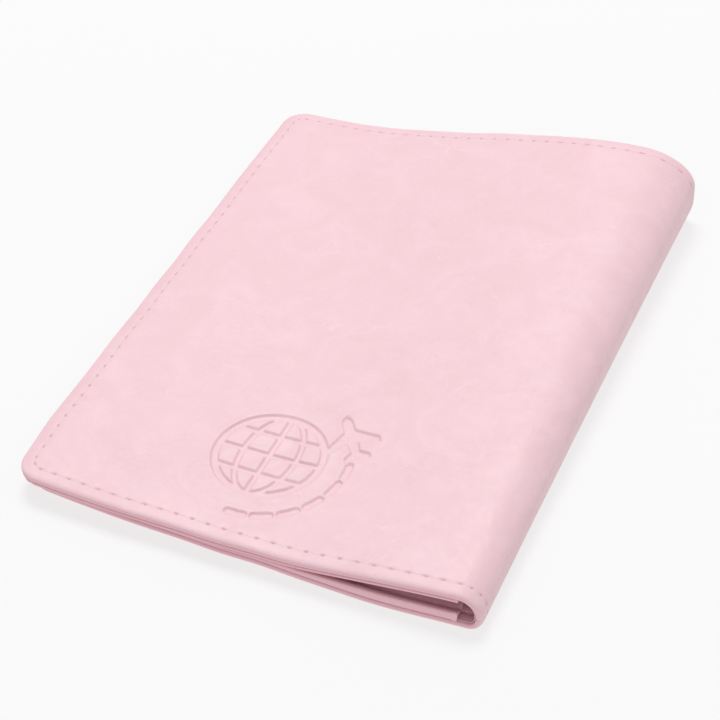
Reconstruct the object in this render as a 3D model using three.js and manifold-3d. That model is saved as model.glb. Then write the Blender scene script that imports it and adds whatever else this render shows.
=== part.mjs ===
// A bifold passport holder in soft imitation leather, lying closed with its back cover on the table.
// Millimetres, +Z up. X runs from the fore edge (-X) to the spine (+X), Y runs up the pages.
// The origin is on the table under the middle of the holder.
//
// Every layer is drawn on the unfolded holder and then bent with it. A place on the unfolded holder is
// `across`, the way over the outer face from the front cover's fore edge, round the spine, to the back
// cover's fore edge; `y`; and `depth`, the way in from the outer face.

import * as THREE from 'three';
import { mergeVertices } from 'three/addons/utils/BufferGeometryUtils.js';
import Module from 'manifold-3d';

const wasm = await Module();
wasm.setup();
const { lerp, clamp, degToRad } = THREE.MathUtils;

// Outline.
const HEIGHT = 140;
const FORE_X = -52;
const SPINE_X = 52;
const BACK_INSET = 1.5; // the back cover's fore edge lies this far inside the front cover's
const CORNER_R = 5.5;
const FORE_THICK = 6; // both covers together at the fore edge

// The spine is rolled loosely, and more so at the top. Each pair is [bottom end, top end].
const ROLL_TOP = [9.2, 18]; // height of the roll over the table
const ROLL_X = [46.5, 38.5]; // where the front cover turns into the roll
const ROLL_DROP = [5.2, 8.2]; // from the top of the roll down to its widest point
const FOLD_R = [3.1, 6]; // of the lower fold
const SWELL_X = [[4, -40], [52, 40.5]]; // the front cover rises between these two lines

// Lengths over the outer face: front cover, roll, side of the spine, lower fold, back cover.
const LEGS = [95, 12.8, 2.4, 7.2, 98];
const LEG_STARTS = LEGS.map((_, i) => LEGS.slice(0, i).reduce((sum, leg) => sum + leg, 0));
const UNFOLDED = LEG_STARTS[4] + LEGS[4];

// The two fold lines part the holder into front cover, spine and back cover.
const FOLDS = [LEG_STARTS[1] + LEGS[1] / 2, LEG_STARTS[3] + LEGS[3] / 2];
const FOLD_GAP = 0.3;

// Depths of the layers, [outer, inner].
const SHELL = [0, 1.55];
const BOARD_POCKET = [0.6, 1.2];
const BOARD = [0.7, 1.1];
const HEM_WINDOW = [0.75, 1.7];
const LINING = [1.65, 1.85];
const SLEEVE = [1.95, 2.4];
const CARD_POCKET_THICK = 0.4;
const CARD_POCKET_DEPTH = [2.5, 3.1]; // of its outer face at its lower and its upper edge

// Distances in from the leather's turned edge.
const HEM_WIDTH = 9;
const BOARD_POCKET_INSET = 4;
const BOARD_INSET = 4.4;
const LINING_INSET = 0.8;
const SLEEVE_INSET = 0.3;
const CARD_POCKET_INSET = 1.3;
const SEAM_INSET = 3;

// Distances from the fore edge, across each cover.
const BOARD_END = 88;
const BOARD_POCKET_END = 88.6;
const SLEEVE_END = 96;
const CARD_POCKET_END = 94.5;

const CARD_POCKETS = ['upper', 'middle', 'lower'];
const CARD_POCKET_TOP_Y = 30;
const CARD_POCKET_STEP = 19;
const CARD_POCKET_LAP = 4; // how far each reaches down behind the next

const THREAD_R = 0.2;
const THREAD_DEPTH = 0.27;
const GROOVE_R = 0.5;
const GROOVE_DEPTH = 0.05;

const COLOURS = { leather: '#f6d6dc', board: '#cfc8bd', lining: '#c58f98', thread: '#eebfc9' };

// The outer face in the XZ plane at the height y.
function outerFace(across, y) {
  const at = ([bottom, top]) => lerp(bottom, top, y / HEIGHT + 0.5);
  const top = at(ROLL_TOP);
  const rollX = at(ROLL_X);
  const foldR = at(FOLD_R);
  const [swellStart, swellEnd] = SWELL_X.map(at);
  const rise = (x) => {
    const t = clamp((x - swellStart) / (swellEnd - swellStart), 0, 1);
    return { z: lerp(FORE_THICK, top, t * t * (3 - 2 * t)),
      slope: (top - FORE_THICK) * 6 * t * (1 - t) / (swellEnd - swellStart) };
  };
  const sideTop = top - at(ROLL_DROP);
  const leg = LEG_STARTS.findLastIndex((start) => across >= start || start === 0);
  const t = (across - LEG_STARTS[leg]) / LEGS[leg];

  if (leg === 0) {
    const x = lerp(FORE_X, rollX, t);
    return new THREE.Vector2(x, rise(x).z);
  }
  if (leg === 1) {
    const start = rise(rollX);
    const round = 0.55; // handles of this length make the curve nearly an ellipse
    const reach = round * (SPINE_X - rollX);
    return new THREE.CubicBezierCurve(
      new THREE.Vector2(rollX, start.z),
      new THREE.Vector2(rollX + reach, start.z + reach * start.slope),
      new THREE.Vector2(SPINE_X, sideTop + round * (start.z - sideTop)),
      new THREE.Vector2(SPINE_X, sideTop),
    ).getPoint(t);
  }
  if (leg === 2) return new THREE.Vector2(SPINE_X, lerp(sideTop, foldR, t));
  if (leg === 3) {
    const angle = t * Math.PI / 2;
    return new THREE.Vector2(SPINE_X - foldR * (1 - Math.cos(angle)), foldR * (1 - Math.sin(angle)));
  }
  return new THREE.Vector2(lerp(SPINE_X - foldR, FORE_X + BACK_INSET, t), 0);
}

// A place on the unfolded holder, bent with it.
function bend(across, y, depth) {
  const step = 0.01;
  const along = outerFace(across + step, y).sub(outerFace(across - step, y)).normalize();
  const face = outerFace(across, y);
  return new THREE.Vector3(face.x + along.y * depth, y, face.y - along.x * depth);
}

// Lines across which every layer has its vertices, so that neighbouring layers stay parallel.
const steps = (count, start, length) => Array.from({ length: count }, (_, i) => start + length * i / count);
const cornerLines = [30, 60].map((angle) => CORNER_R * (1 - Math.cos(degToRad(angle))));
const ACROSS_LINES = [
  ...cornerLines,
  ...steps(13, CORNER_R, LEGS[0] - CORNER_R),
  ...steps(8, LEG_STARTS[1], LEGS[1]),
  LEG_STARTS[2],
  ...steps(6, LEG_STARTS[3], LEGS[3]),
  LEG_STARTS[4],
  UNFOLDED - CORNER_R,
  ...cornerLines.map((inset) => UNFOLDED - inset).reverse(),
];
const ROWS = 8;

// Half the height of a layer that keeps `inset` from the edge, with the cover's rounded fore corners.
function halfHeight(across, inset) {
  const fromEnd = Math.min(across, UNFOLDED - across) - inset;
  const radius = Math.max(CORNER_R - inset, 0.5);
  const into = clamp(radius - fromEnd, 0, radius);
  return HEIGHT / 2 - inset - radius + Math.sqrt(radius ** 2 - into ** 2);
}

// A closed sheet between two `across` lines. yRange(across) is [low, high], depths(y) is [outer, inner].
function sheet(start, end, yRange, depths, rows = ROWS) {
  const lines = [start, ...ACROSS_LINES.filter((line) => line > start + 0.2 && line < end - 0.2), end];
  const positions = [];
  for (const side of [0, 1]) {
    for (const across of lines) {
      const [low, high] = yRange(across);
      for (let row = 0; row <= rows; row += 1) {
        const y = lerp(low, high, row / rows);
        positions.push(...bend(across, y, depths(y)[side]));
      }
    }
  }
  const layer = lines.length * (rows + 1);
  const index = [];
  const quad = (a, b, c, d) => index.push(a, b, c, a, c, d);
  for (let i = 0; i < lines.length - 1; i += 1) {
    const here = i * (rows + 1);
    const next = here + rows + 1;
    for (let row = 0; row < rows; row += 1) {
      const [a, b, c, d] = [here + row, next + row, next + row + 1, here + row + 1];
      quad(a, b, c, d);
      index.push(a + layer, c + layer, b + layer, a + layer, d + layer, c + layer);
    }
    quad(here, here + layer, next + layer, next);
    quad(here + rows, next + rows, next + rows + layer, here + rows + layer);
  }
  const last = layer - rows - 1;
  for (let row = 0; row < rows; row += 1) {
    quad(row, row + 1, row + 1 + layer, row + layer);
    quad(last + row, last + row + layer, last + row + 1 + layer, last + row + 1);
  }
  const geometry = new THREE.BufferGeometry();
  geometry.setAttribute('position', new THREE.Float32BufferAttribute(positions, 3));
  geometry.setIndex(index);
  return geometry;
}

const panel = (start, end, inset, depths) => sheet(
  start, end, (across) => [-halfHeight(across, inset), halfHeight(across, inset)], () => depths);

// A round tube along a seam. `route` holds the seam's points on the unfolded holder, as [across, y].
function tube(route, depth, radius) {
  const sides = 6;
  const positions = [];
  route.forEach(([across, y], i) => {
    const [before, after] = [route[Math.max(i - 1, 0)], route[Math.min(i + 1, route.length - 1)]];
    const ahead = new THREE.Vector2(after[0] - before[0], after[1] - before[1]).normalize();
    for (let side = 0; side < sides; side += 1) {
      const angle = 2 * Math.PI * side / sides;
      const [out, down] = [radius * Math.cos(angle), radius * Math.sin(angle)];
      positions.push(...bend(across + ahead.y * out, y - ahead.x * out, depth + down));
    }
  });
  const index = [];
  const lastRing = (route.length - 1) * sides;
  for (let side = 0; side < sides; side += 1) {
    const next = (side + 1) % sides;
    for (let ring = 0; ring < lastRing; ring += sides) {
      index.push(ring + side, ring + next, ring + sides + next);
      index.push(ring + side, ring + sides + next, ring + sides + side);
    }
    if (side > 1) index.push(0, side, side - 1, lastRing, lastRing + side - 1, lastRing + side);
  }
  const geometry = new THREE.BufferGeometry();
  geometry.setAttribute('position', new THREE.Float32BufferAttribute(positions, 3));
  geometry.setIndex(index);
  return geometry;
}

function toManifold(geometry) {
  const bare = geometry.clone().deleteAttribute('normal').deleteAttribute('uv');
  const merged = mergeVertices(bare, 1e-4);
  return new wasm.Manifold(new wasm.Mesh({ numProp: 3,
    vertProperties: merged.attributes.position.array,
    triVerts: Uint32Array.from(merged.index.array) }));
}

function cut(geometry, ...tools) {
  const mesh = tools.reduce((solid, tool) => solid.subtract(toManifold(tool)), toManifold(geometry)).getMesh();
  const result = new THREE.BufferGeometry();
  result.setAttribute('position', new THREE.BufferAttribute(Float32Array.from(mesh.vertProperties), 3));
  result.setIndex(Array.from(mesh.triVerts));
  return result;
}

const materials = {
  leather: new THREE.MeshStandardMaterial({ color: COLOURS.leather, roughness: 0.5, metalness: 0 }),
  board: new THREE.MeshStandardMaterial({ color: COLOURS.board, roughness: 0.9, metalness: 0 }),
  lining: new THREE.MeshStandardMaterial({ color: COLOURS.lining, roughness: 0.8, metalness: 0 }),
  thread: new THREE.MeshStandardMaterial({ color: COLOURS.thread, roughness: 0.7, metalness: 0 }),
};

const holder = new THREE.Group();
function add(name, geometry, material) {
  const mesh = new THREE.Mesh(geometry, material);
  mesh.name = name;
  holder.add(mesh);
}

// The seam of a cover: in from the fold along one end, round the fore edge and back along the other end.
function coverSeam(foreAt, foldAt) {
  const inward = Math.sign(foldAt - foreAt);
  const radius = CORNER_R - SEAM_INSET;
  const endY = HEIGHT / 2 - SEAM_INSET;
  const foreLine = foreAt + inward * SEAM_INSET;
  const turn = foreLine + inward * radius;
  const between = ACROSS_LINES.filter((line) => (line - turn) * inward > 1 && (foldAt - line) * inward > 1);
  const half = [turn, ...between, foldAt].sort((a, b) => (b - a) * inward).map((across) => [across, endY]);
  for (const angle of [22.5, 45, 67.5, 90].map(degToRad)) {
    half.push([turn - inward * radius * Math.sin(angle), endY - radius * (1 - Math.cos(angle))]);
  }
  half.push([foreLine, endY / 2], [foreLine, 0]);
  return [...half, ...half.slice(0, -1).reverse().map(([across, y]) => [across, -y])];
}

// The seam round one end of the spine.
function spineSeam(start, end, y) {
  const between = ACROSS_LINES.filter((line) => line > start + 1 && line < end - 1);
  return [start, ...between, end].map((across) => [across, y]);
}

// One cover: turned-edge shell, board, lining, sleeve and seam thread.
function addCover(name, foreAt, foldAt) {
  const inward = Math.sign(foldAt - foreAt);
  const between = (near, far) => [foreAt + inward * near, far].sort((a, b) => a - b);
  const upTo = (near, far) => between(near, foreAt + inward * far);
  const past = foldAt + inward * 1; // cutters run out through the fold
  const edge = foldAt - inward * FOLD_GAP / 2;
  const shell = cut(
    panel(...between(0, edge), 0, SHELL),
    panel(...upTo(BOARD_POCKET_INSET, BOARD_POCKET_END), BOARD_POCKET_INSET, BOARD_POCKET),
    panel(...between(HEM_WIDTH, past), HEM_WIDTH, HEM_WINDOW),
    tube(coverSeam(foreAt, past), GROOVE_DEPTH, GROOVE_R),
  );
  add(`${name}_cover_shell`, shell, materials.leather);
  add(`${name}_stiffener_board`, panel(...upTo(BOARD_INSET, BOARD_END), BOARD_INSET, BOARD), materials.board);
  add(`${name}_lining`, panel(...between(LINING_INSET, edge), LINING_INSET, LINING), materials.lining);
  add(`${name}_passport_sleeve`, panel(...upTo(SLEEVE_INSET, SLEEVE_END), SLEEVE_INSET, SLEEVE),
    materials.leather);
  add(`${name}_seam_thread`, tube(coverSeam(foreAt, edge), THREAD_DEPTH, THREAD_R), materials.thread);
}

function addSpine() {
  const [start, end] = [FOLDS[0] + FOLD_GAP / 2, FOLDS[1] - FOLD_GAP / 2];
  const seamY = HEIGHT / 2 - SEAM_INSET;
  const grooves = [-seamY, seamY].map((y) => tube(spineSeam(start - 1, end + 1, y), GROOVE_DEPTH, GROOVE_R));
  const shell = cut(panel(start, end, 0, SHELL), panel(start - 1, end + 1, HEM_WIDTH, HEM_WINDOW), ...grooves);
  add('spine_shell', shell, materials.leather);
  add('spine_lining', panel(start, end, LINING_INSET, LINING), materials.lining);
  add('spine_seam_thread_bottom', tube(spineSeam(start, end, -seamY), THREAD_DEPTH, THREAD_R), materials.thread);
  add('spine_seam_thread_top', tube(spineSeam(start, end, seamY), THREAD_DEPTH, THREAD_R), materials.thread);
}

// Card pockets on the front cover's sleeve, each lapped over the one above it and open at its upper edge.
function addCardPockets() {
  CARD_POCKETS.forEach((name, i) => {
    const high = CARD_POCKET_TOP_Y - i * CARD_POCKET_STEP;
    const lowest = i === CARD_POCKETS.length - 1;
    const low = high - CARD_POCKET_STEP - CARD_POCKET_LAP;
    const [flat, lapped] = CARD_POCKET_DEPTH;
    const depths = (y) => {
      const outer = i === 0 ? flat : lerp(lapped, flat, (high - y) / (CARD_POCKET_STEP + CARD_POCKET_LAP));
      return [Math.max(outer, flat), Math.max(outer, flat) + CARD_POCKET_THICK];
    };
    const yRange = (across) => [lowest ? -halfHeight(across, CARD_POCKET_INSET) : low, high];
    const geometry = sheet(CARD_POCKET_INSET, CARD_POCKET_END, yRange, depths, lowest ? 6 : 2);
    add(`front_card_pocket_${name}`, geometry, materials.leather);
  });
}

addCover('front', 0, FOLDS[0]);
addCardPockets();
addSpine();
addCover('back', UNFOLDED, FOLDS[1]);

export default holder;
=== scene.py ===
"""A pink imitation-leather passport holder, closed and lying flat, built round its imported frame.

Lengths in this script are millimetres until a mesh is made. Every layer is drawn on the unfolded holder
and bent with it: `across` runs over the outer face from the front cover's fore edge, round the spine, to
the back cover's fore edge, `y` runs up the pages, and `depth` goes in from the outer face.
"""

import math

import bmesh
import bpy
import numpy as np
from mathutils import Matrix, Vector


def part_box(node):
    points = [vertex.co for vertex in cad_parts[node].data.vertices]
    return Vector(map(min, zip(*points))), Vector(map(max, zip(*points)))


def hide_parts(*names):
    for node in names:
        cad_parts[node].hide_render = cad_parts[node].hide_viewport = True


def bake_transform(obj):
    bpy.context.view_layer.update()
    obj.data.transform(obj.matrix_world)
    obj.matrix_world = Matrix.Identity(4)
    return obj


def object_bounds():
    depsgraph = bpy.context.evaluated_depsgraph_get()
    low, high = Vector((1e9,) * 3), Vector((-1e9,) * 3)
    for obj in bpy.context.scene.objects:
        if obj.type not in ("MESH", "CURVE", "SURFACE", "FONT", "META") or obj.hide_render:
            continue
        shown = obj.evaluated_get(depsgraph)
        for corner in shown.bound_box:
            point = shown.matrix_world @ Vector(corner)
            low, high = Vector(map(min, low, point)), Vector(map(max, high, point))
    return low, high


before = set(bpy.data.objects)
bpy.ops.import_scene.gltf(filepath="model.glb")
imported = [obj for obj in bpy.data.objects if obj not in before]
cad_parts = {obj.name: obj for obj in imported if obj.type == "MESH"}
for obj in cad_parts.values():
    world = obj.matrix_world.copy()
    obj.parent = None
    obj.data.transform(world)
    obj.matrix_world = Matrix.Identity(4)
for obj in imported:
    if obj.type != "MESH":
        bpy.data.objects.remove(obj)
cad_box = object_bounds()
MM = 0.001
UV_SCALE = 10  # UV units per metre of the unfolded holder

# ---------------------------------------------------------------- the frame's dimensions

LOW, HIGH = ([value / MM for value in corner] for corner in cad_box)
HEIGHT = HIGH[1] - LOW[1]
FORE_X, SPINE_X = LOW[0], HIGH[0]
BACK_FORE_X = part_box("back_cover_shell")[0].x / MM
CORNER_R = 5.5
FORE_THICK = 6.0

# Each pair is (bottom end, top end) of the frame's rolled spine.
ROLL_TOP = (9.2, HIGH[2])
ROLL_X = (46.5, 38.5)
ROLL_DROP = (5.2, 8.2)
FOLD_R = (3.1, 6.0)
SWELL_START = (4.0, -40.0)
SWELL_END = (52.0, 40.5)

LEGS = np.array([95.0, 12.8, 2.4, 7.2, 98.0])
LEG_STARTS = np.concatenate([[0], np.cumsum(LEGS)[:-1]])
UNFOLDED = LEGS.sum()
MID_SPINE = LEG_STARTS[2] + LEGS[2] / 2

SHELL_THICK = 1.55
SKIN_THICK = 0.6
BAND = CORNER_R  # the edge band that is laid out in rings parallel to the edge
SEAM_INSET = 3.0
STITCH = 3.4  # about; the exact pitch divides each seam evenly
CORNER_STITCHES = 2

BOW = 1.3  # how far the bottom edge swells outwards at its middle
BULGE = 0.9  # how much further the back cover's bottom edge swells near the spine
WAIST = 0.3  # how far the spine draws in at mid-height
WOBBLE = 0.09  # the unevenness of the turned edges
SKEW = 2.2  # how far the fore edge of the back cover lies up the pages from the front cover's
# How far the fore edge draws in at its bottom corner, and the top edge at its fore corner.
TUCK = (1.0, 0.8)
# How far the bottom fore corner of the front and of the back cover curls up.
LIFT = (0.5, 0.75)


# ---------------------------------------------------------------- bending the unfolded holder


def between(pair, y):
    return pair[0] + (pair[1] - pair[0]) * (y / HEIGHT + 0.5)


def outer_face(across, y):
    """x and z of the outer face."""
    top, roll_x, fold_r = between(ROLL_TOP, y), between(ROLL_X, y), between(FOLD_R, y)
    swell_start, swell_end = between(SWELL_START, y), between(SWELL_END, y)
    side_top = top - between(ROLL_DROP, y)

    def rise(x):
        t = np.clip((x - swell_start) / (swell_end - swell_start), 0, 1)
        z = FORE_THICK + (top - FORE_THICK) * t * t * (3 - 2 * t)
        return z, (top - FORE_THICK) * 6 * t * (1 - t) / (swell_end - swell_start)

    def along(leg):
        return (across - LEG_STARTS[leg]) / LEGS[leg]

    cover_x = FORE_X + (roll_x - FORE_X) * along(0)
    cover_z = rise(cover_x)[0]

    t = np.clip(along(1), 0, 1)
    start_z, slope = rise(roll_x)
    reach = 0.55 * (SPINE_X - roll_x)
    weights = ((1 - t) ** 3, 3 * t * (1 - t) ** 2, 3 * t**2 * (1 - t), t**3)
    roll_xs = (roll_x, roll_x + reach, SPINE_X, SPINE_X)
    roll_zs = (start_z, start_z + reach * slope, side_top + 0.55 * (start_z - side_top), side_top)
    rolled_x = sum(w * p for w, p in zip(weights, roll_xs))
    rolled_z = sum(w * p for w, p in zip(weights, roll_zs))

    side_z = side_top + (fold_r - side_top) * along(2)

    angle = np.clip(along(3), 0, 1) * math.pi / 2
    fold_x = SPINE_X - fold_r * (1 - np.cos(angle))
    fold_z = fold_r * (1 - np.sin(angle))

    back_start = SPINE_X - fold_r
    back_x = back_start + (BACK_FORE_X - back_start) * along(4)

    legs = [across < start for start in LEG_STARTS[1:]]
    x = np.select(legs, [cover_x, rolled_x, SPINE_X + 0 * across, fold_x], back_x)
    z = np.select(legs, [cover_z, rolled_z, side_z, fold_z], 0 * across)
    return x, z


def smooth(t):
    t = np.clip(t, 0, 1)
    return t * t * (3 - 2 * t)


def settle(across, x, y, z):
    """The small departures of soft leather from the straight outline of the frame."""
    on_back = across > MID_SPINE
    low_end = (0.5 - y / HEIGHT) ** 2
    y_out = y - BOW * low_end * (1 - (x / SPINE_X) ** 2)
    x_out = x - WAIST * (1 - (2 * y / HEIGHT) ** 2) * smooth((x - 10) / 42)
    x_out = x_out + WOBBLE * np.sin(y / 4.1 + 2 * np.sin(y / 17)) * smooth(-x / 40)
    y_out = y_out + WOBBLE * np.sin(x / 4.7 + 2 * np.sin(x / 13)) * smooth(np.abs(y) / 35 - 1)
    y_out = y_out + SKEW * np.clip((across - LEG_STARTS[4]) / LEGS[4], 0, 1)
    y_out = y_out - np.where(on_back, BULGE * np.exp(-(((x - 30) / 14) ** 2)) * low_end, 0)
    fore = np.clip(-(x + 27) / 25, 0, 1) ** 2
    x_out = x_out + TUCK[0] * fore * smooth(-(y + 50) / 17)
    y_out = y_out - TUCK[1] * fore * smooth((y - 50) / 17)
    corner = np.clip(-(x + 8) / 44, 0, 1) ** 2 * np.clip(-(y + 5) / 65, 0, 1) ** 2
    return x_out, y_out, z + np.where(on_back, LIFT[1], LIFT[0]) * corner


def bend(across, y, depth):
    """Points in the row frame for places on the unfolded holder."""
    across, y, depth = np.broadcast_arrays(*(np.asarray(v, float) for v in (across, y, depth)))
    step = 0.05
    x, z = outer_face(across, y)
    x1, z1 = outer_face(across + step, y)
    x0, z0 = outer_face(across - step, y)
    length = np.hypot(x1 - x0, z1 - z0)
    x, z = x + (z1 - z0) / length * depth, z - (x1 - x0) / length * depth
    return np.stack(settle(across, x, y, z), -1)


# ---------------------------------------------------------------- the outline of a cover


class Cover:
    """One cover with its half of the spine. `u` is the way in from the fore edge and `i` counts stitches
    along the seam: from mid-spine at the bottom, round the fore edge, to mid-spine at the top."""

    def __init__(self, front):
        self.front = front
        self.length = MID_SPINE if front else UNFOLDED - MID_SPINE
        self.side = round((self.length - BAND) / STITCH)
        self.fore = round((HEIGHT - 2 * BAND) / STITCH)
        self.corner = CORNER_STITCHES
        legs = [0, self.side, self.corner, self.fore, self.corner, self.side]
        self.knots = np.cumsum(legs).astype(float)

    def across(self, u):
        return u if self.front else UNFOLDED - u

    def place(self, i, edge):
        """(u, y) at i along the outline and `edge` mm in from it."""
        i = np.asarray(i, float)
        y_end = HEIGHT / 2 - BAND
        reach = self.length - BAND
        knots = self.knots
        legs = [i <= knots[1], i <= knots[2], i <= knots[3], i <= knots[4]]
        u = np.select(legs, [self.length - reach * i / self.side, BAND, BAND, BAND],
                      BAND + reach * (i - knots[4]) / self.side)
        y_fore = -y_end + 2 * y_end * (i - knots[2]) / self.fore
        y = np.select(legs, [-y_end, -y_end, y_fore, y_end], y_end)
        turn = math.pi / 2 / self.corner
        angle = np.select(legs, [0 * i, (i - knots[1]) * turn, math.pi / 2 + 0 * i,
                                 math.pi / 2 + (i - knots[3]) * turn], math.pi)
        return u - np.sin(angle) * (BAND - edge), y - np.cos(angle) * (BAND - edge)

    def steps(self, first, last, pattern):
        """The i of each column of points between two knots, with `pattern` repeated in every stitch."""
        start, stop = self.knots[first], self.knots[last]
        steps = (np.arange(start, stop)[:, None] + np.array(pattern)[None, :]).ravel()
        return np.concatenate([steps, [stop]])

    def step_at(self, u):
        """i on the bottom side at u."""
        return self.side * (self.length - u) / (self.length - BAND)


# Columns of points in each stitch; the fine ones are close together at the needle holes.
FINE = (0, 0.09, 0.26, 0.5, 0.74, 0.91)
COARSE = (0, 0.5)


def edge_distance(u, y):
    """How far in from the cover's outline a place is, up to BAND."""
    in_u = BAND - np.minimum(u, BAND)
    in_y = BAND - np.minimum(HEIGHT / 2 - np.abs(y), BAND)
    return BAND - np.hypot(in_u, in_y)


# ---------------------------------------------------------------- relief of the outer leather


def ripples(seed, count, wavelength, u, v):
    """Smooth seeded waves of about that wavelength, from -1 to 1."""
    rng = np.random.default_rng(seed)
    total = np.zeros(np.broadcast(u, v).shape)
    for _ in range(count):
        angle, phase = rng.uniform(0, 2 * math.pi, 2)
        k = 2 * math.pi / (wavelength * rng.uniform(0.7, 1.5))
        total += np.sin(k * (u * math.cos(angle) + v * math.sin(angle)) + phase)
    return total / count


def polygon_distance(px, py, corners):
    """Signed distance to a closed polygon, negative inside."""
    best = np.full(px.shape, 1e9)
    inside = np.zeros(px.shape, bool)
    for (ax, ay), (bx, by) in zip(corners, corners[1:] + corners[:1]):
        ex, ey = bx - ax, by - ay
        t = np.clip(((px - ax) * ex + (py - ay) * ey) / (ex * ex + ey * ey), 0, 1)
        best = np.minimum(best, np.hypot(px - ax - ex * t, py - ay - ey * t))
        if ey:
            inside ^= ((ay > py) != (by > py)) & (px < ex * (py - ay) / ey + ax)
    return np.where(inside, -best, best)


# A generic travel emblem pressed into the front cover: a globe, and an aeroplane circling it.
GLOBE = (-4.0, -45.0)
GLOBE_R = 11.3
STROKE = 0.8  # half the width of a pressed stroke
ORBIT_R = 17.2
ORBIT_DASHES = (-88, -70, -52, -34, -16, 1)  # the middle of each dash, in degrees
PLANE_ANGLE = 34.0
PLANE_HALF = [(0, 6.6), (0.8, 5.8), (1.0, 4.5), (1.0, 2.2), (5.4, -1.5), (5.4, -2.8), (1.0, -1.1),
              (0.75, -4.2), (2.5, -5.6), (2.5, -6.6), (0, -5.8)]
PRESS_DEPTH = 0.5
PRESS_EDGE = 0.32


def stroke_distance(x, y, points):
    """Distance to a line through the points."""
    best = np.full(x.shape, 1e9)
    for (ax, ay), (bx, by) in zip(points[:-1], points[1:]):
        ex, ey = bx - ax, by - ay
        t = np.clip(((x - ax) * ex + (y - ay) * ey) / (ex * ex + ey * ey), 0, 1)
        best = np.minimum(best, np.hypot(x - ax - ex * t, y - ay - ey * t))
    return best


def emblem_distance(x, y):
    """Signed distance to the pressed strokes, negative inside them."""
    gx, gy = np.broadcast_arrays(x - GLOBE[0], y - GLOBE[1])
    radius = np.hypot(gx, gy)
    best = np.abs(radius - GLOBE_R) - STROKE
    inner = [np.abs(gx)]
    for level in (-0.5, 0.0, 0.5):
        inner.append(np.abs(gy - level * GLOBE_R))
    turns = np.radians(np.arange(0, 361, 12))
    meridian = [(0.52 * GLOBE_R * math.cos(a), GLOBE_R * math.sin(a)) for a in turns]
    inner.append(stroke_distance(gx, gy, meridian))
    inner = np.minimum.reduce(inner) - 0.7 * STROKE
    best = np.where(radius < GLOBE_R, np.minimum(best, inner), best)
    for middle in ORBIT_DASHES:
        arc = np.radians(np.linspace(middle - 5.5, middle + 5.5, 4))
        dash = [(ORBIT_R * math.cos(a), ORBIT_R * math.sin(a)) for a in arc]
        best = np.minimum(best, stroke_distance(gx, gy, dash) - STROKE)
    a = math.radians(PLANE_ANGLE)
    px, py = gx - ORBIT_R * math.cos(a), gy - ORBIT_R * math.sin(a)
    outline = PLANE_HALF + [(-hx, hy) for hx, hy in PLANE_HALF[-2:0:-1]]
    along, beside = px * math.cos(a) + py * math.sin(a), py * math.cos(a) - px * math.sin(a)
    plane = polygon_distance(along, beside, outline)
    return np.minimum(best, plane - 0.15)


GROOVE_DEPTH, GROOVE_WIDTH = 0.04, 0.4
RIDGE_HEIGHT, RIDGE_INSET, RIDGE_WIDTH = 0.06, 4.4, 0.8  # the leather swells just inside the seam
HOLE_DEPTH, HOLE_WIDTH, HOLE_LENGTH = 0.45, 0.17, 0.42
INNER_GROOVE = 0.35


def hump(t):
    return np.exp(-(t**2))


def rim_slope(cover, i, edge):
    """The turned edge falls away outside the seam, most along the fore edge."""
    knots = cover.knots
    fore = smooth((i - knots[1]) / 2) * smooth((knots[4] - i) / 2)
    return (0.12 + 0.36 * fore) * (1 - smooth(edge / SEAM_INSET)) * smooth(edge / 1.1)


def seam_groove(edge):
    return hump((edge - SEAM_INSET) / GROOVE_WIDTH)


def outer_relief(cover, i, edge, u, y, holes=True):
    """How far the outer leather lies under its smooth face."""
    across = cover.across(u)
    depth = GROOVE_DEPTH * seam_groove(edge) + rim_slope(cover, i, edge)
    depth = depth - RIDGE_HEIGHT * hump((edge - RIDGE_INSET) / RIDGE_WIDTH)
    if holes:
        to_hole = np.abs((i + 0.5) % 1 - 0.5) * STITCH
        depth += HOLE_DEPTH * hump((edge - SEAM_INSET) / HOLE_WIDTH) * hump(to_hole / HOLE_LENGTH)
    depth += 0.05 * ripples(3, 14, 11, across, y)
    if cover.front:
        depth += 0.16 * ripples(5, 8, 42, across, y) * smooth(edge / BAND)
        x = outer_face(across, y)[0]
        pressed = emblem_distance(x, y)
        depth += PRESS_DEPTH * smooth(0.5 - pressed / PRESS_EDGE)
        depth -= 0.05 * hump((pressed - 0.6) / 0.5)
    else:
        depth = np.maximum(depth, 0)
    return depth


def inner_relief(u, y, puff):
    """How far an inner face stands off its smooth place: pressed in along the seam, and raised inside it,
    most near the spine."""
    edge = edge_distance(u, y)
    raised = puff * smooth((edge - SEAM_INSET) / 3) * smooth((u - 40) / 45)
    return raised - INNER_GROOVE * seam_groove(edge)


# ---------------------------------------------------------------- meshes


class Sheet:
    """Collects grids of points into one welded mesh, with the unfolded place of each point as its UV. The
    attribute "inside" rises from 0 at the depth `surface` to 1 at 0.9 mm below it; the leather paints shade
    with it, a deeper pink on turned edges and inner layers."""

    def __init__(self):
        self.points, self.uvs, self.faces, self.count = [], [], [], 0
        self.inside = []

    def add(self, across, y, depth, uv=None, surface=0.5):
        across, y, depth = np.broadcast_arrays(*(np.asarray(v, float) for v in (across, y, depth)))
        rows, columns = across.shape
        self.points.append(bend(across, y, depth).reshape(-1, 3) * MM)
        # Painted shade mask: 0 at the face, 1 deeper in, where the leather's pink is deepened.
        self.inside.append(smooth((depth - surface) / 0.9).ravel())
        self.uvs.append(np.stack(uv or (across, y), -1).reshape(-1, 2) * MM * UV_SCALE)
        index = self.count + np.arange(rows * columns).reshape(rows, columns)
        quads = np.stack([index[:-1, :-1], index[1:, :-1], index[1:, 1:], index[:-1, 1:]], -1)
        self.faces.append(quads.reshape(-1, 4))
        self.count += rows * columns

    def build(self, name, material, sharp=60):
        return make_mesh(name, np.concatenate(self.points), np.concatenate(self.faces),
                         np.concatenate(self.uvs), material, sharp, np.concatenate(self.inside))


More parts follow.
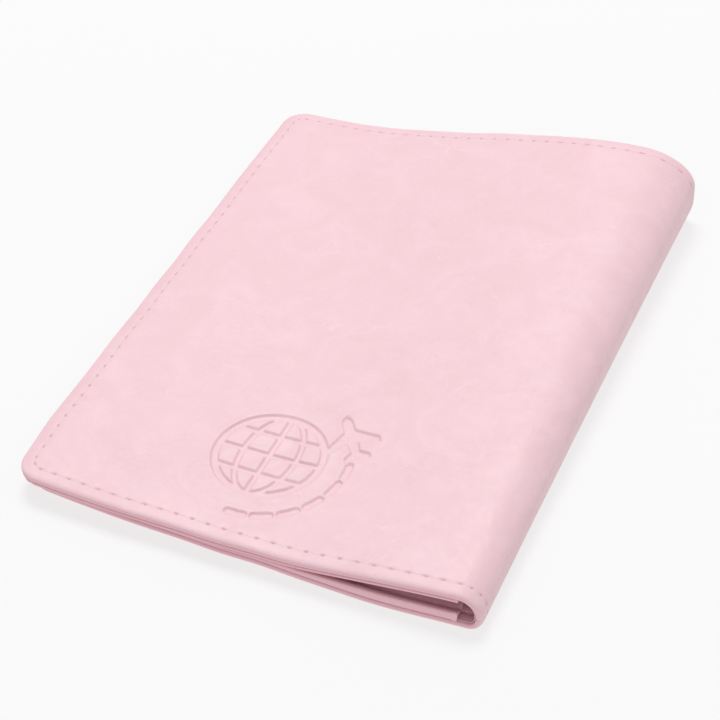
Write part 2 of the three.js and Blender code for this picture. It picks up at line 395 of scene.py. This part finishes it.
def make_mesh(name, points, faces, uvs, material, sharp=60, inside=None):
    mesh = bpy.data.meshes.new(name)
    mesh.from_pydata(points.tolist(), [], faces.tolist())
    # The "inside" attribute is the painted shade mask that the leather material reads.
    if inside is not None:
        mesh.attributes.new("inside", "FLOAT", "POINT").data.foreach_set("value", inside.astype(np.float32))
    layer = mesh.uv_layers.new(name="UVMap")
    corner_vertices = np.zeros(len(mesh.loops), np.int32)
    mesh.loops.foreach_get("vertex_index", corner_vertices)
    layer.data.foreach_set("uv", uvs[corner_vertices].astype(np.float32).ravel())
    bm = bmesh.new()
    bm.from_mesh(mesh)
    bmesh.ops.remove_doubles(bm, verts=bm.verts, dist=2e-6)
    bmesh.ops.holes_fill(bm, edges=[e for e in bm.edges if e.is_boundary], sides=0)
    bmesh.ops.recalc_face_normals(bm, faces=bm.faces)
    for face in bm.faces:
        face.smooth = True
    for edge in bm.edges:
        if len(edge.link_faces) == 2 and edge.calc_face_angle(0) > math.radians(sharp):
            edge.smooth = False
    bm.to_mesh(mesh)
    bm.free()
    mesh.materials.append(material)
    piece = bpy.data.objects.new(name, mesh)
    bpy.context.scene.collection.objects.link(piece)
    return piece


def rim(start, outer, inner, widths=None, apex=None, steps=9):
    """Rings of (edge distance, depth) round an edge that starts `start` in from the cover's, from its outer
    face to its inner. `widths` are how far in each face begins to turn; `apex` is the very edge's depth."""
    apex = apex or (outer + inner) / 2
    widths = widths or (apex - outer, inner - apex)
    rings = []
    for a in np.linspace(0, math.pi, steps + 2):
        width, drop = (widths[0], apex - outer) if a < math.pi / 2 else (widths[1], inner - apex)
        rings.append((start + width * (1 - math.sin(a)), apex - drop * math.cos(a)))
    return rings


def banded(cover, rings, name, material, relief, pattern=COARSE, end=None, fine=None):
    """A layer of a cover. `rings` are (distance in from the cover's edge, depth), the first and the last
    at BAND. The layer stops at u = end, and the ranges of x and y in `fine` get closer points."""
    bottom = cover.steps(0, 1, pattern)
    fore = cover.steps(2, 3, pattern)
    if end:
        near_end = cover.step_at(end - np.array([0, 0.05, 0.13, 0.24, 0.5, 0.9, 1.4]))
        bottom = np.concatenate([near_end, bottom[bottom > near_end[-1] + 0.1]])
    if fine:
        x = outer_face(cover.across(cover.place(bottom, BAND)[0]), 0 * bottom)[0]
        bottom = refine(bottom, (x > fine[0][0]) & (x < fine[0][1]))
        y = cover.place(fore, BAND)[1]
        fore = refine(fore, (y > fine[1][0]) & (y < fine[1][1]))
    corners = [cover.steps(a, a + 1, pattern)[1:-1] for a in (1, 3)]
    steps = np.concatenate([bottom, corners[0], fore, corners[1], cover.knots[5] - bottom[::-1]])
    edges, depths = (np.array(v, float)[None, :] for v in zip(*rings))
    apex = int(np.argmin(edges))
    outer = np.arange(len(rings))[None, :] <= apex
    u, y = cover.place(steps[:, None], edges)
    depth = close_end(u, depths, end, rings) + relief(outer, depths, steps[:, None], edges, u, y)
    way_round = np.hypot(np.diff(edges[0]), np.diff(depths[0]))
    unrolled = BAND - np.concatenate([[0], np.cumsum(way_round)])
    flat_u, flat_y = cover.place(steps[:, None], unrolled[None, :])
    innermost = int(np.argmax(depths[0] > depths.max() - 1e-6))
    halves = ((slice(0, innermost + 1), (cover.across(flat_u), flat_y)), (slice(innermost, None), None))
    sheet = Sheet()
    for part, uv in halves:
        flat = uv and tuple(v[:, part] for v in uv)
        # With surface=0.1 the painted shade begins just under the outer face, so the rounded turned edge
        # deepens in colour.
        sheet.add(cover.across(u)[:, part], y[:, part], depth[:, part], flat, surface=0.1)
    u, y = cover.place(bottom, BAND)[0][:, None], cover.place(fore, BAND)[1][None, :]
    edge = edge_distance(u, y)
    for is_outer, ring in ((True, rings[0]), (False, rings[-1])):
        face = ring[1] + 0 * u * y
        depth = close_end(u, face, end, rings) + relief(is_outer, face, 0.5, edge, u, y)
        sheet.add(cover.across(u), y, depth)
    return sheet.build(name, material)


def refine(steps, mask, spacing=0.065):
    """Adds points between neighbours where mask is true for both, at most `spacing` stitches apart."""
    out = []
    for a, b, m in zip(steps[:-1], steps[1:], mask[:-1] & mask[1:]):
        parts = math.ceil((b - a) / spacing) if m else 1
        out += [a + (b - a) * k / parts for k in range(parts)]
    return np.array(out + [steps[-1]])


def close_end(u, depth, end, rings):
    """Rounds the free end of a layer at u = end into a slightly thicker bead, where its two faces meet."""
    if end is None:
        return depth
    r = (rings[-1][1] - rings[0][1]) / 2
    mid = (rings[-1][1] + rings[0][1]) / 2
    way_in = np.maximum(end - u, 0)
    rounding = np.sqrt(1 - (1 - np.clip(way_in / r, 0, 1)) ** 2)
    return mid + (depth - mid) * rounding * (1 + 0.5 * hump((way_in - 0.5) / 0.5))


def layer_rings(start, depth, thick):
    """Rings of a plain layer, its edge `start` in from the cover's and its outer face at `depth`."""
    insets = (1.2, 1.8, 2.3, 2.6, 2.8, 3.0, 3.2, 3.4, 3.8, 4.4, BAND)
    inward = [edge for edge in insets if edge > start + thick]
    around = rim(start, depth, depth + thick, steps=7)
    return [(e, depth) for e in inward[::-1]] + around + [(e, depth + thick) for e in inward]


def flap(cover, name, material, low, high, end, outer_depth, thick, start):
    """A pocket from y = low (or the cover's lower edge, if low is None) to high, its faces meeting at its
    edges."""
    r = thick / 2
    near = np.array([0, 0.08, 0.3, 1.0]) * r
    u = np.concatenate([start + near, np.arange(start + 0.7, BAND, 0.5), np.arange(BAND, end - 0.5, 1.7),
                        end - near[::-1]])
    corner = np.clip(CORNER_R - u, 0, CORNER_R - start)
    lowest = -HEIGHT / 2 + CORNER_R - np.sqrt((CORNER_R - start) ** 2 - corner**2)
    bottom = lowest if low is None else low + 0 * u
    inner = np.arange(1.0, high - bottom.max() - 0.9, 0.5)
    share = np.concatenate([near, [0.6], inner]) / (high - bottom.max())
    share = np.concatenate([share, 1 - np.concatenate([[0.6], near[::-1]]) / (high - bottom.max())])
    u, share, bottom = u[:, None], share[None, :], bottom[:, None]
    y = bottom + (high - bottom) * share
    edge = np.minimum.reduce([u - start + 0 * y, end - u + 0 * y, high - y, y - bottom])
    if low is None:
        in_corner = (u < CORNER_R) & (y < -HEIGHT / 2 + CORNER_R)
        round_edge = CORNER_R - start - np.hypot(CORNER_R - u, y + HEIGHT / 2 - CORNER_R)
        edge = np.where(in_corner, round_edge, edge)
    half = r * np.sqrt(np.clip(1 - (1 - np.clip(edge / r, 0, 1)) ** 2, 0, 1))
    half = half * (1 + 0.4 * hump((high - y - 0.5) / 0.5))
    middle = outer_depth(y) + r + inner_relief(u, y, PUFF)
    sheet = Sheet()
    sheet.add(cover.across(u), y, middle - half)
    sheet.add(cover.across(u), y, middle + half)
    return sheet.build(name, material)


def stitches(name, material, runs, radius=0.14):
    """Lockstitches, one closed thread each. A run is (count, path, sign): path(t, side) gives across, y
    and the depth of the face at t stitches along the run and `side` mm beside it; sign is +1 outside and
    -1 inside."""
    rings, sides = 11, 8
    t = np.linspace(0, 1, rings)[:, None]
    angle = np.linspace(0, 2 * math.pi, sides, endpoint=False)[None, :]
    arch = np.abs(2 * t - 1)
    thin = radius * (1 - 0.4 * arch**4)
    points, uvs, faces, total = [], [], [], 0
    for count, path, sign in runs:
        for k in range(count):
            across, y, face = path(k + 0.03 + 0.94 * t + 0 * angle, 0.16 * (t - 0.5) + thin * np.cos(angle))
            down = face + sign * (0.1 + 0.42 * arch**6 - thin * np.sin(angle))
            points.append(bend(across, y, down).reshape(-1, 3) * MM)
            along, around = (k + t + 0 * angle) * STITCH * MM * UV_SCALE, (0 * t + angle) * 0.0016
            uvs.append(np.stack([along, around], -1).reshape(-1, 2))
            index = total + np.arange(rings * sides).reshape(rings, sides)
            after = np.roll(index, -1, axis=1)
            quads = np.stack([index[:-1], index[1:], after[1:], after[:-1]], -1).reshape(-1, 4)
            faces.append(quads)
            total += rings * sides
    return make_mesh(name, np.concatenate(points), np.concatenate(faces), np.concatenate(uvs), material, 80)


# ---------------------------------------------------------------- materials

# Linear colours.
LEATHER_PALE = (0.84, 0.585, 0.635)
LEATHER_DEEP = (0.81, 0.548, 0.598)
LEATHER_WARM = (0.85, 0.60, 0.63)
LEATHER_CREASE = (0.92, 0.72, 0.76)
# Painted shade: the deeper pink of turned edges and inner layers, standing in for their shade and warm
# bounce light.
LEATHER_PAINTED_SHADE = (0.80, 0.475, 0.535)
LINING_DEEP = (0.72, 0.41, 0.46)
LINING_PALE = (0.82, 0.51, 0.56)
THREAD_DEEP = (0.78, 0.52, 0.57)
THREAD_PALE = (0.87, 0.63, 0.68)
TABLE_GREY = (0.23, 0.23, 0.23)
TABLE_GLOW = 0.70  # the strength of its own light


class Nodes:
    """A short way to write a shader tree."""

    def __init__(self, name):
        self.material = bpy.data.materials.new(name)
        self.material.use_nodes = True
        self.tree = self.material.node_tree
        self.shader = self.tree.nodes["Principled BSDF"]

    def add(self, kind, links=(), **settings):
        node = self.tree.nodes.new(kind)
        for key, value in settings.items():
            if hasattr(node, key):
                setattr(node, key, value)
            else:
                node.inputs[key.replace("_", " ")].default_value = value
        for socket, source in dict(links).items():
            self.link(source, node.inputs[socket])
        return node

    def link(self, source, target):
        self.tree.links.new(source, target)

    def place(self, scale):
        """The unfolded place, in mm, times scale."""
        uv = self.add("ShaderNodeUVMap", uv_map="UVMap")
        mapping = self.add("ShaderNodeMapping", {"Vector": uv.outputs["UV"]})
        size = 1 / (MM * UV_SCALE)
        factors = scale if isinstance(scale, tuple) else (scale, scale)
        mapping.inputs["Scale"].default_value = (size * factors[0], size * factors[1], 1)
        return mapping.outputs["Vector"]

    def noise(self, scale, detail=3.0, roughness=0.5, distortion=0.0, low=0.35, high=0.65):
        """Noise stretched to run from 0 to 1 between low and high. scale is in features per mm."""
        noise = self.add("ShaderNodeTexNoise", {"Vector": self.place(scale)}, Scale=1.0, Detail=detail,
                         Roughness=roughness, Distortion=distortion)
        return self.stretch(noise.outputs["Fac"], low, high)

    def stretch(self, source, low, high, to_low=0.0, to_high=1.0):
        node = self.add("ShaderNodeMapRange", {"Value": source}, clamp=True)
        for name, value in (("From Min", low), ("From Max", high), ("To Min", to_low), ("To Max", to_high)):
            node.inputs[name].default_value = value
        return node.outputs["Result"]

    def math(self, operation, a, b):
        node = self.add("ShaderNodeMath", operation=operation)
        for socket, value in zip(node.inputs, (a, b)):
            if isinstance(value, (int, float)):
                socket.default_value = value
            else:
                self.link(value, socket)
        return node.outputs["Value"]

    def mix(self, factor, a, b):
        node = self.add("ShaderNodeMix", data_type="RGBA")
        for socket, value in ((node.inputs[0], factor), (node.inputs[6], a), (node.inputs[7], b)):
            if isinstance(value, tuple):
                socket.default_value = (*value, 1.0)
            elif isinstance(value, (int, float)):
                socket.default_value = value
            else:
                self.link(value, socket)
        return node.outputs[2]

    def bump(self, height, strength, distance_mm, normal=None):
        node = self.add("ShaderNodeBump", {"Height": height}, Strength=strength, Distance=distance_mm * MM)
        if normal:
            self.link(normal, node.inputs["Normal"])
        return node.outputs["Normal"]


def leather_material():
    """Smooth pale pink imitation leather: faint marbling, fine pores, pale hairline creases, satin gloss,
    and painted shade: a deeper pink on turned edges and inner layers.
    """
    n = Nodes("leather")
    clouds = n.noise(0.09, 4, 0.6, 1.2, 0.36, 0.66)
    specks = n.noise(0.55, 3, 0.55, 0.6, 0.40, 0.66)
    base = n.mix(clouds, LEATHER_DEEP, LEATHER_PALE)
    base = n.mix(n.math("MULTIPLY", specks, 0.22), base, LEATHER_WARM)
    # Painted shade: the pink deepens where the attribute "inside" says a point lies below its face.
    inside = n.add("ShaderNodeAttribute", attribute_name="inside")
    base = n.mix(inside.outputs["Fac"], base, LEATHER_PAINTED_SHADE)
    warp = n.add("ShaderNodeTexNoise", {"Vector": n.place(0.16)}, Scale=1.0, Detail=2.0)
    crease_cells = n.add("ShaderNodeTexVoronoi", feature="DISTANCE_TO_EDGE", Scale=1.0)
    shifted = n.add("ShaderNodeVectorMath", operation="ADD")
    n.link(n.place((0.17, 0.11)), shifted.inputs[0])
    n.link(warp.outputs["Color"], shifted.inputs[1])
    n.link(shifted.outputs[0], crease_cells.inputs["Vector"])
    hairline = n.stretch(crease_cells.outputs["Distance"], 0.0, 0.02, 1.0, 0.0)
    patches = n.noise(0.07, 2, 0.5, 0.0, 0.52, 0.64)
    crease = n.math("MULTIPLY", hairline, patches)
    base = n.mix(n.math("MULTIPLY", crease, 0.35), base, LEATHER_CREASE)
    n.link(base, n.shader.inputs["Base Color"])

    pores = n.add("ShaderNodeTexVoronoi", {"Vector": n.place(2.6)}, Scale=1.0, Randomness=1.0)
    pore = n.stretch(pores.outputs["Distance"], 0.05, 0.5)
    grain = n.noise(1.1, 4, 0.6, 0.4)
    height = n.math("ADD", n.math("MULTIPLY", pore, 0.4), n.math("MULTIPLY", grain, 0.6))
    normal = n.bump(height, 0.35, 0.035)
    normal = n.bump(n.noise(0.22, 3, 0.55, 0.8), 0.4, 0.12, normal)
    wrinkles = n.noise((0.3, 0.9), 3, 0.6, 1.5, 0.42, 0.62)
    wrinkled = n.noise(0.045, 1, 0.5, 0.0, 0.50, 0.62)
    normal = n.bump(n.math("MULTIPLY", wrinkles, wrinkled), 0.32, 0.12, normal)
    normal = n.bump(crease, 0.3, 0.1, normal)
    n.link(normal, n.shader.inputs["Normal"])
    gloss = n.noise(0.3, 3, 0.5, 0.5, 0.3, 0.7)
    n.link(n.stretch(gloss, 0.0, 1.0, 0.42, 0.56), n.shader.inputs["Roughness"])
    n.shader.inputs["Specular IOR Level"].default_value = 0.4
    n.shader.inputs["Sheen Weight"].default_value = 0.08
    n.shader.inputs["Sheen Roughness"].default_value = 0.4
    return n.material


def lining_material():
    """Fine plain-woven cloth in a dusty pink."""
    n = Nodes("lining")
    threads = []
    for axis in ("X", "Y"):
        wave = n.add("ShaderNodeTexWave", {"Vector": n.place(1.0)}, wave_type="BANDS", bands_direction=axis,
                     Scale=0.75, Distortion=0.6, Detail=2.0)
        wave.inputs["Detail Scale"].default_value = 3.0
        threads.append(wave.outputs["Fac"])
    checker = n.add("ShaderNodeTexChecker", {"Vector": n.place(1.0)}, Scale=4.7)
    weave = n.add("ShaderNodeMix", data_type="FLOAT")
    n.link(checker.outputs["Fac"], weave.inputs[0])
    n.link(threads[0], weave.inputs[2])
    n.link(threads[1], weave.inputs[3])
    fibres = n.noise(0.8, 4, 0.65)
    base = n.mix(n.math("MULTIPLY", weave.outputs[0], 0.5), LINING_DEEP, LINING_PALE)
    base = n.mix(n.math("MULTIPLY", fibres, 0.25), base, LINING_PALE)
    n.link(base, n.shader.inputs["Base Color"])
    n.link(n.bump(weave.outputs[0], 0.5, 0.08), n.shader.inputs["Normal"])
    n.shader.inputs["Roughness"].default_value = 0.8
    n.shader.inputs["Sheen Weight"].default_value = 0.08
    return n.material


def board_material():
    """Uncoated buff board with loose fibres."""
    n = Nodes("board")
    base = n.mix(n.noise(0.4, 5, 0.7), (0.50, 0.45, 0.38), (0.66, 0.61, 0.53))
    n.link(base, n.shader.inputs["Base Color"])
    n.link(n.bump(n.noise(1.6, 4, 0.7), 0.4, 0.05), n.shader.inputs["Normal"])
    n.shader.inputs["Roughness"].default_value = 0.9
    return n.material


def thread_material():
    """Twisted sewing thread: slanting plies along each stitch."""
    n = Nodes("thread")
    wave = n.add("ShaderNodeTexWave", {"Vector": n.place((0.6, 1.0))}, wave_type="BANDS",
                 bands_direction="DIAGONAL", Scale=1.6, Distortion=0.3)
    n.link(n.mix(wave.outputs["Fac"], THREAD_DEEP, THREAD_PALE), n.shader.inputs["Base Color"])
    n.link(n.bump(wave.outputs["Fac"], 0.5, 0.06), n.shader.inputs["Normal"])
    n.shader.inputs["Roughness"].default_value = 0.55
    n.shader.inputs["Sheen Weight"].default_value = 0.2
    return n.material


def stage_material():
    """A pale table, lit from within as well as from above so that shadows on it stay faint."""
    n = Nodes("table")
    n.shader.inputs["Base Color"].default_value = (*TABLE_GREY, 1)
    n.shader.inputs["Roughness"].default_value = 0.9
    n.shader.inputs["Specular IOR Level"].default_value = 0.1
    n.shader.inputs["Emission Color"].default_value = (1, 1, 1, 1)
    n.shader.inputs["Emission Strength"].default_value = TABLE_GLOW
    return n.material


leather = leather_material()
lining = lining_material()
board = board_material()
thread = thread_material()


# ---------------------------------------------------------------- the pieces


def follow_fold(piece, cover):
    """Bakes the piece's placement into its mesh; the two halves of the holder meet at mid-spine."""
    sides = [outer_face(np.array(MID_SPINE), y * HEIGHT)[1] for y in (-0.5, 0, 0.5)]
    if cover.front:
        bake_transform(piece)
    else:
        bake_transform(piece)


SHELL_RINGS = (
    [(edge, 0.0) for edge in (BAND, 4.6, 4.3, 4.0, 3.7, 3.45, 3.26, 3.12, 3.0)]
    + [(edge, 0.0) for edge in (2.88, 2.74, 2.55, 2.3, 2.0, 1.7)]
    + rim(0, 0, SHELL_THICK, (1.35, 0.5), 1.0, 11)
    + [(edge, SHELL_THICK) for edge in (1.0, 1.6, 2.0, 2.4, 2.7, 3.0, 3.3, 3.6, 4.2, 4.8)]
    + [(4.8, 1.2), (4.4, 1.2), (4.0, 1.2), (4.0, SKIN_THICK), (4.4, SKIN_THICK), (BAND, SKIN_THICK)]
)
LINING_DEPTH, LINING_THICK, LINING_EDGE = 1.65, 0.2, 0.55
BOARD_DEPTH, BOARD_THICK, BOARD_EDGE, BOARD_END = 0.7, 0.4, 4.4, 88.0
SLEEVE_DEPTH, SLEEVE_THICK, SLEEVE_EDGE, SLEEVE_END = 1.95, 0.45, 0.1, 96.0
SLEEVE_INNER = SLEEVE_DEPTH + SLEEVE_THICK
SLEEVE_RIM_DEPTH = 1.66
SLEEVE_INSETS = (1.2, 1.8, 2.3, 2.6, 2.8, 3.0, 3.2, 3.4, 3.8, 4.4, BAND)
SLEEVE_RINGS = (
    [(edge, SLEEVE_DEPTH) for edge in SLEEVE_INSETS[::-1] + (0.6,)]
    + rim(SLEEVE_EDGE, SLEEVE_RIM_DEPTH, SLEEVE_INNER)
    + [(edge, SLEEVE_INNER) for edge in (0.9,) + SLEEVE_INSETS]
)
POCKET_THICK, POCKET_EDGE, POCKET_END = 0.45, 1.2, 94.5
POCKET_TOP, POCKET_STEP, POCKET_LAP = 30.0, 19.0, 4.0
POCKET_FLAT, POCKET_LAPPED = 2.5, 3.1
PUFF = 0.5  # how far the sleeves and pockets stand off inside the seam
HEM = 1.3  # how much thicker the turned edge of the back cover's sleeve is near the spine

front, back = Cover(True), Cover(False)
EMBLEM_AREA = ((-17.5, 20.5), (-67.0, -29.0))


def shell_relief(cover):
    def relief(outer, depths, i, edge, u, y):
        pressed = np.where(depths > SHELL_THICK - 0.01, -0.35 * seam_groove(edge), 0)
        return np.where(outer, outer_relief(cover, i, edge, u, y), pressed)

    return relief


def layer_relief(puff):
    def relief(outer, depths, i, edge, u, y):
        return inner_relief(u, y, puff)

    return relief


def sleeve_relief(cover):
    """The back cover's sleeve has a fuller turned edge, growing towards the spine."""
    flat = layer_relief(PUFF)
    if cover.front:
        return flat

    def relief(outer, depths, i, edge, u, y):
        hem = HEM * smooth((u - 45) / 40) * (1 - smooth((edge - 0.6) / 2.2))
        return flat(outer, depths, i, edge, u, y) + hem * smooth((depths - SLEEVE_DEPTH + 0.3) / 0.7)

    return relief


def pocket_depth(index):
    """The outer depth of card pocket `index` at height y. Each but the first is deepest at its top, where
    it laps over the one above."""
    top = POCKET_TOP - POCKET_STEP * index
    span = POCKET_STEP + POCKET_LAP

    def depth(y):
        if index == 0:
            return POCKET_FLAT + 0 * y
        share = np.clip((top - y) / span, 0, 1)
        return POCKET_LAPPED + (POCKET_FLAT - POCKET_LAPPED) * share

    return depth


def inner_face(cover, u, y):
    """The depth of the innermost face of a cover along its seam."""
    face = np.where(u < SLEEVE_END, SLEEVE_INNER, LINING_DEPTH + LINING_THICK)
    if cover.front:
        lowest = POCKET_TOP - 2 * POCKET_STEP
        on_pocket = (u < POCKET_END) & (y < lowest)
        face = np.where(on_pocket, pocket_depth(2)(y) + POCKET_THICK, face)
    return face + inner_relief(u, y, 0)


def make_cover(cover, word):
    shell = banded(cover, SHELL_RINGS, f"{word}_leather", leather, shell_relief(cover), FINE,
                   fine=EMBLEM_AREA if cover.front else None)
    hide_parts(f"{word}_cover_shell", "spine_shell")
    lining_rings = layer_rings(LINING_EDGE, LINING_DEPTH, LINING_THICK)
    cloth = banded(cover, lining_rings, f"{word}_lining_cloth", lining, layer_relief(0.1))
    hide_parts(f"{word}_lining", "spine_lining")
    stiffener = banded(cover, layer_rings(BOARD_EDGE, BOARD_DEPTH, BOARD_THICK), f"{word}_board", board,
                       lambda outer, depths, i, edge, u, y: 0 * u, end=BOARD_END)
    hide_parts(f"{word}_stiffener_board")
    sleeve = banded(cover, SLEEVE_RINGS, f"{word}_sleeve", leather, sleeve_relief(cover),
                    end=SLEEVE_END)
    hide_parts(f"{word}_passport_sleeve")

    def outside(t, side):
        u, y = cover.place(t, SEAM_INSET + side)
        return cover.across(u), y, outer_relief(cover, t, SEAM_INSET + side, u, y, holes=False)

    def inside(t, side):
        u, y = cover.place(t, SEAM_INSET + side)
        return cover.across(u), y, inner_face(cover, u, y)

    count = int(cover.knots[5])
    sewn = stitches(f"{word}_stitches", thread, [(count, outside, 1), (count, inside, -1)])
    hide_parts(f"{word}_seam_thread", "spine_seam_thread_bottom", "spine_seam_thread_top")
    return [(shell, "leather"), (cloth, "lining"), (stiffener, "board"), (sleeve, "leather"),
            (sewn, "thread")]


def make_pockets(cover):
    made = []
    for index, word in enumerate(("upper", "middle", "lower")):
        top = POCKET_TOP - POCKET_STEP * index
        low = None if index == 2 else top - POCKET_STEP - POCKET_LAP
        pocket = flap(cover, f"card_pocket_{word}", leather, low, top, POCKET_END, pocket_depth(index),
                      POCKET_THICK, POCKET_EDGE)
        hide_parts(f"front_card_pocket_{word}")
        made.append((pocket, "leather"))
    return made


front_pieces = make_cover(front, "front") + make_pockets(front)
back_pieces = make_cover(back, "back")
for cover, pieces in ((front, front_pieces), (back, back_pieces)):
    for piece, slot in pieces:
        follow_fold(piece, cover)


# ---------------------------------------------------------------- stage, light and camera


def make_stage():
    size = 6.0
    mesh = bpy.data.meshes.new("floor")
    corners = [(x * size, y * size, -0.00005) for x, y in ((-1, -1), (1, -1), (1, 1), (-1, 1))]
    mesh.from_pydata(corners, [], [(0, 1, 2, 3)])
    mesh.materials.append(stage_material())
    floor = bpy.data.objects.new("floor", mesh)
    bpy.context.scene.collection.objects.link(floor)


def make_light(name, place, size, power, target=(0, 0, 0.01)):
    light = bpy.data.lights.new(name, "AREA")
    light.shape = "DISK"
    light.size = size
    light.energy = power
    lamp = bpy.data.objects.new(name, light)
    lamp.location = place
    lamp.rotation_euler = (Vector(place) - Vector(target)).to_track_quat("Z", "Y").to_euler()
    bpy.context.scene.collection.objects.link(lamp)


def make_world(strength):
    world = bpy.data.worlds.new("world")
    bpy.context.scene.world = world
    world.use_nodes = True
    background = world.node_tree.nodes["Background"]
    background.inputs["Color"].default_value = (1, 1, 1, 1)
    background.inputs["Strength"].default_value = strength


def make_camera(azimuth, elevation, roll, distance, target, lens):
    a, e = math.radians(azimuth), math.radians(elevation)
    away = Vector((math.sin(a) * math.cos(e), -math.cos(a) * math.cos(e), math.sin(e)))
    right = Vector((0, 0, 1)).cross(away).normalized()
    up = away.cross(right)
    c, s = math.cos(math.radians(roll)), math.sin(math.radians(roll))
    right, up = right * c + up * s, up * c - right * s
    camera = bpy.data.cameras.new("camera")
    camera.lens = lens
    camera.sensor_width = 36
    holder = bpy.data.objects.new("camera", camera)
    place = Vector(target) + away * distance
    holder.matrix_world = Matrix.Translation(place) @ Matrix((right, up, away)).transposed().to_4x4()
    bpy.context.scene.collection.objects.link(holder)
    bpy.context.scene.camera = holder


make_stage()
make_world(0.6)
make_light("key", (-0.22, 0.45, 1.2), 0.6, 9.6)
make_light("fill", (0.25, -0.85, 0.22), 0.3, 0.4)
make_camera(24.6, 41.3, -1.9, 0.4663, (-0.00125, -0.0056, 0), 106)
bpy.context.scene.view_settings.view_transform = "Standard"
